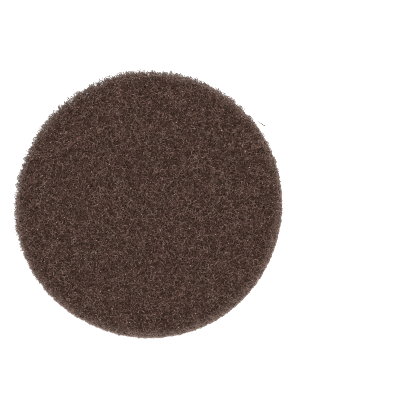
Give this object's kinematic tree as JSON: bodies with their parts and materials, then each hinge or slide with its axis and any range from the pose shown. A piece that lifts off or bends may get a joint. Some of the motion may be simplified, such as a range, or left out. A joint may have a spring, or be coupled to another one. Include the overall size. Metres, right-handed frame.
{
  "type": "non-woven abrasive disc",
  "caption": "Round non-woven abrasive disc: a dark brown web of bonded crimped fibre, laminated to a thin white loop cloth that grips a hook-faced pad.",
  "frame": {"origin": "centre of the loop face, on the surface that the disc lies on", "axes": "+Z out of the abrasive face, through the thickness; +X and +Y in the disc's plane, +X to the right and +Y up in the picture"},
  "size_m": [0.1511, 0.1508, 0.0077],
  "materials": {
    "abrasive_web": "matte, coarse bonded fibre with grain",
    "loop_backing": "matte, brushed loop pile"
  },
  "bodies": {
    "root": {"abrasive_web": "abrasive_web", "loop_backing": "loop_backing"}
  },
  "joints": []
}
